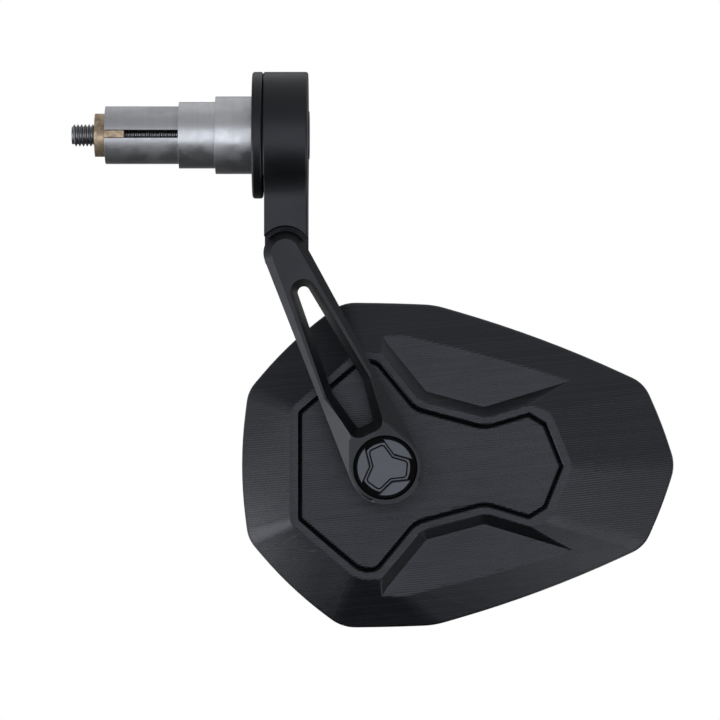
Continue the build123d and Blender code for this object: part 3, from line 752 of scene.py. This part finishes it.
class MIRROR_OT_housing(MirrorOperator):
    """Round the housing's edges and cut the ridges that its finishing cutter leaves"""

    bl_idname = "bar_end_mirror.housing"
    bl_label = "Housing"
    furrow = 0.7  # where the deepest line of a row lies, as a share of its width
    furrow_reach = 0.001  # how near to it a point counts as on it
    steepest = -0.6  # largest Y of the normal of a face that is milled
    fading = 12  # power by which slopes have shallower ridges
    sway = 0.35  # share by which the depth changes along a ridge
    sway_stretch = 2  # length of these changes, in wavers
    sway_step = 0.37  # change of the noise from row to row

    def execute(self, context):
        settings = context.scene.bar_end_mirror
        bm = merged_copy("mirror_housing")
        width = settings.edges.housing
        bmesh.ops.bevel(
            bm, geom=breakable_edges(bm, width), offset=width, offset_type="OFFSET", segments=ROUND_SEGMENTS,
            profile=ROUND_PROFILE, affect="EDGES", clamp_overlap=False, material=-1,
        )
        self.mill_back(bm, settings.detail)
        piece = add_piece("housing_milled", bm, "mirror_housing", settings)
        level = piece.modifiers.new("level", "WEIGHTED_NORMAL")
        level.keep_sharp = True
        return {"FINISHED"}

    def mill_back(self, bm, detail):
        """Cut the mesh into rows and sink a line in each, so that each row has a long and a short flank."""
        pitch = detail.milling_pitch
        waver = detail.milling_waver
        across = across_milling(detail)
        low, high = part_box("mirror_housing")
        heights = [across.dot((x, 0, z)) for x in (low.x, high.x) for z in (low.z, high.z)]
        lowest = min(heights)
        for column in range(1, int((high.x - low.x) / waver)):
            cut_across(bm, Vector((low.x + column * waver, 0, 0)), Vector((1, 0, 0)))
        for row in range(int((max(heights) - lowest) / pitch)):
            for share in (0, self.furrow):
                for edge in cut_across(bm, across * (lowest + (row + share) * pitch), across):
                    edge.smooth = False
        bm.normal_update()
        sunk = []
        for vert in bm.verts:
            row, share = divmod((vert.co.dot(across) - lowest) / pitch, 1)
            if vert.normal.y < self.steepest and abs(share - self.furrow) < self.furrow_reach:
                depth = detail.milling_depth * (-vert.normal.y) ** self.fading
                swing = noise.noise((vert.co.x / waver / self.sway_stretch, row * self.sway_step, 0))
                sunk.append((vert, vert.normal * depth * (1 + self.sway * swing)))
        for vert, step in sunk:
            vert.co -= step


class MIRROR_OT_glass(MirrorOperator):
    """Silver the mirror glass and finish its foam tape"""

    bl_idname = "bar_end_mirror.glass"
    bl_label = "Glass"

    def execute(self, context):
        settings = context.scene.bar_end_mirror
        bm = merged_copy("mirror_glass", MIRROR_ANGLE)
        bmesh.ops.dissolve_degenerate(bm, dist=MERGE_DISTANCE, edges=bm.edges)
        add_piece("glass_silvered", bm, "mirror_glass", settings)
        paint("glass_pad", settings)
        return {"FINISHED"}


# Stage


class Lamp(NamedTuple):
    """A square area lamp: the setting that gives its power, its place and size in metres, and its tint."""

    name: str
    setting: str
    place: tuple
    size: float
    tint: tuple = (1.0, 1.0, 1.0)


class Card(NamedTuple):
    """A grey card that shows only in reflections: its middle and size in metres, and its turn."""

    name: str
    place: tuple
    size: tuple
    turn: tuple
    brightness: float


LAMPS = (
    Lamp("key", "key_power", place=(-0.5, -0.24, -0.33), size=0.3),
    Lamp("fill", "fill_power", place=(0.38, -0.55, -0.5), size=0.4),
    Lamp("front", "front_power", place=(0.0, -1.25, -0.12), size=0.9, tint=(0.82, 0.89, 1.0)),
    Lamp("back", "back_power", place=(0.3, 1.2, 0.3), size=0.8),
)

LYING = (0, 0, 0)
SIDEWAYS = (0, math.pi / 2, 0)
UPRIGHT = (math.pi / 2, 0, 0)
CARDS = (
    Card("card_over", (0.4, -0.85, 0.5), (1.2, 1.5), LYING, brightness=0.52),
    Card("card_over_back", (0.4, 0.25, 0.5), (1.2, 0.7), LYING, brightness=0.7),
    Card("card_over_left", (-0.6, -0.55, 0.5), (0.8, 2.1), LYING, brightness=0.25),
    Card("card_left", (-0.8, -0.35, 0.215), (0.57, 1.0), SIDEWAYS, brightness=0.58),
    Card("card_under", (-0.05, 0.325, -0.45), (0.5, 2.35), LYING, brightness=0.05),
    Card("card_side", (0.75, 0.69, -0.45), (0.9, 1.62), LYING, brightness=0.12),
    Card("card_right", (0.6, -0.5, 0.11), (0.78, 0.8), SIDEWAYS, brightness=0.36),
    Card("card_behind", (0.03, 0.7, -0.06), (1.2, 1.0), UPRIGHT, brightness=0.16),
)

# Brightness of the world as a light and as a background
WORLD_LIGHT = 0.45
WORLD_WHITE = 1.0
FLOOR_REACH = 4.0
FLOOR_COLOUR = (0.85, 0.85, 0.85, 1.0)
FLOOR_ROUGHNESS = 0.9
FLOOR_GLOW = 0.75


def seen_directly(tree):
    """One for rays that show the background: straight from the camera, mirrored or passed on."""
    path = add_node(tree, "ShaderNodeLightPath").outputs
    shown = calculate(tree, "MAXIMUM", path["Is Camera Ray"], path["Is Glossy Ray"])
    return calculate(tree, "MAXIMUM", shown, path["Is Transmission Ray"])


def white_world(scene):
    """World that looks white and lights the part softly."""
    world = bpy.data.worlds.new("studio")
    world.use_nodes = True
    tree = world.node_tree
    tree.nodes.clear()
    soft = add_node(tree, "ShaderNodeBackground", {"Color": WHITE, "Strength": WORLD_LIGHT})
    white = add_node(tree, "ShaderNodeBackground", {"Color": WHITE, "Strength": WORLD_WHITE})
    mix = add_node(
        tree, "ShaderNodeMixShader", {0: seen_directly(tree), 1: soft.outputs[0], 2: white.outputs[0]}
    )
    add_node(tree, "ShaderNodeOutputWorld", {"Surface": mix.outputs[0]})
    scene.world = world


def stage_sheet(name, shape, material):
    """Flat piece of the stage, a square of two metres moved by a matrix."""
    bm = bmesh.new()
    bmesh.ops.create_grid(bm, size=1.0, matrix=shape)
    mesh = bpy.data.meshes.new(name)
    bm.to_mesh(mesh)
    bm.free()
    mesh.materials.append(material)
    sheet = bpy.data.objects.new(name, mesh)
    bpy.context.scene.collection.objects.link(sheet)
    return sheet


def pale_floor(height):
    """Wide pale floor that looks white but keeps the shadow of the part."""
    material, tree, shader = new_material("pale_floor")
    shader.inputs["Base Color"].default_value = FLOOR_COLOUR
    shader.inputs["Roughness"].default_value = FLOOR_ROUGHNESS
    glow = add_node(tree, "ShaderNodeEmission", {"Color": WHITE, "Strength": FLOOR_GLOW})
    lifted = add_node(tree, "ShaderNodeAddShader", {0: shader.outputs[0], 1: glow.outputs[0]})
    mix = add_node(
        tree, "ShaderNodeMixShader", {0: seen_directly(tree), 1: shader.outputs[0], 2: lifted.outputs[0]}
    )
    tree.links.new(mix.outputs[0], tree.nodes["Material Output"].inputs["Surface"])
    stage_sheet("floor", Matrix.Translation((0, 0, height)) @ Matrix.Scale(FLOOR_REACH, 4), material)


def studio_card(card):
    """Grey card that gives the dark finish contrast."""
    material, _, shader = new_material(card.name)
    shader.inputs["Base Color"].default_value = BLACK
    shader.inputs["Specular IOR Level"].default_value = 0.0
    shader.inputs["Emission Color"].default_value = WHITE
    shader.inputs["Emission Strength"].default_value = card.brightness
    wide, deep = card.size
    shape = Matrix.LocRotScale(Vector(card.place), Euler(card.turn), Vector((wide / 2, deep / 2, 1)))
    sheet = stage_sheet(card.name, shape, material)
    sheet.visible_camera = False
    sheet.visible_shadow = False


def soft_lamp(lamp, watts, target):
    """Area lamp that points at the part and doesn't show itself."""
    data = bpy.data.lights.new(lamp.name, "AREA")
    data.size = lamp.size
    data.energy = watts
    data.color = lamp.tint
    light = bpy.data.objects.new(lamp.name, data)
    light.location = lamp.place
    light.rotation_euler = (target - Vector(lamp.place)).to_track_quat("-Z", "Y").to_euler()
    light.visible_camera = False
    bpy.context.scene.collection.objects.link(light)


class MIRROR_OT_stage(MirrorOperator):
    """Set up the floor, the white background, the lamps, the cards and the camera"""

    bl_idname = "bar_end_mirror.stage"
    bl_label = "Stage"

    def execute(self, context):
        scene = context.scene
        stage = scene.bar_end_mirror.stage
        scene.view_settings.view_transform = "Standard"
        white_world(scene)
        pale_floor(CAD_BOX[0].z - stage.floor_drop)
        target = Vector((stage.frame_x, 0, stage.frame_z))
        for lamp in LAMPS:
            soft_lamp(lamp, getattr(stage, lamp.setting), target)
        for card in CARDS:
            studio_card(card)
        data = bpy.data.cameras.new("camera")
        data.lens = data.sensor_width * stage.camera_distance / stage.frame_width
        camera = bpy.data.objects.new("camera", data)
        camera.location = (stage.frame_x, -stage.camera_distance, stage.frame_z)
        camera.rotation_euler = (math.pi / 2, 0, 0)
        scene.collection.objects.link(camera)
        scene.camera = camera
        return {"FINISHED"}


OPERATORS = (
    MIRROR_OT_insert, MIRROR_OT_clamp_bolt, MIRROR_OT_hub, MIRROR_OT_pivot, MIRROR_OT_arm, MIRROR_OT_adjuster,
    MIRROR_OT_ball_joint, MIRROR_OT_housing, MIRROR_OT_glass, MIRROR_OT_stage,
)


class MIRROR_PT_panel(bpy.types.Panel):
    """Lists the mirror's settings and operators in the sidebar"""

    bl_idname = "MIRROR_PT_panel"
    bl_label = "Bar End Mirror"
    bl_space_type = "VIEW_3D"
    bl_region_type = "UI"
    bl_category = "Mirror"

    def draw(self, context):
        layout = self.layout
        settings = context.scene.bar_end_mirror
        for title in ("edges", "colours", "detail", "stage"):
            box = layout.box()
            box.label(text=title.capitalize())
            group = getattr(settings, title)
            for name in group.__annotations__:
                box.prop(group, name)
        for operator in OPERATORS:
            layout.operator(operator.bl_idname)


CLASSES = (
    MirrorEdges, MirrorColours, MirrorDetail, MirrorStage, MirrorSettings, *OPERATORS, MIRROR_PT_panel,
)


def register():
    """Register the classes and attach the settings to the scene."""
    for cls in CLASSES:
        bpy.utils.register_class(cls)
    bpy.types.Scene.bar_end_mirror = bpy.props.PointerProperty(type=MirrorSettings)


def unregister():
    """Undo register."""
    del bpy.types.Scene.bar_end_mirror
    for cls in reversed(CLASSES):
        bpy.utils.unregister_class(cls)


def main():
    """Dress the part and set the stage."""
    register()
    for operator in OPERATORS:
        group, name = operator.bl_idname.split(".")
        getattr(getattr(bpy.ops, group), name)()


if __name__ == "__main__":
    main()
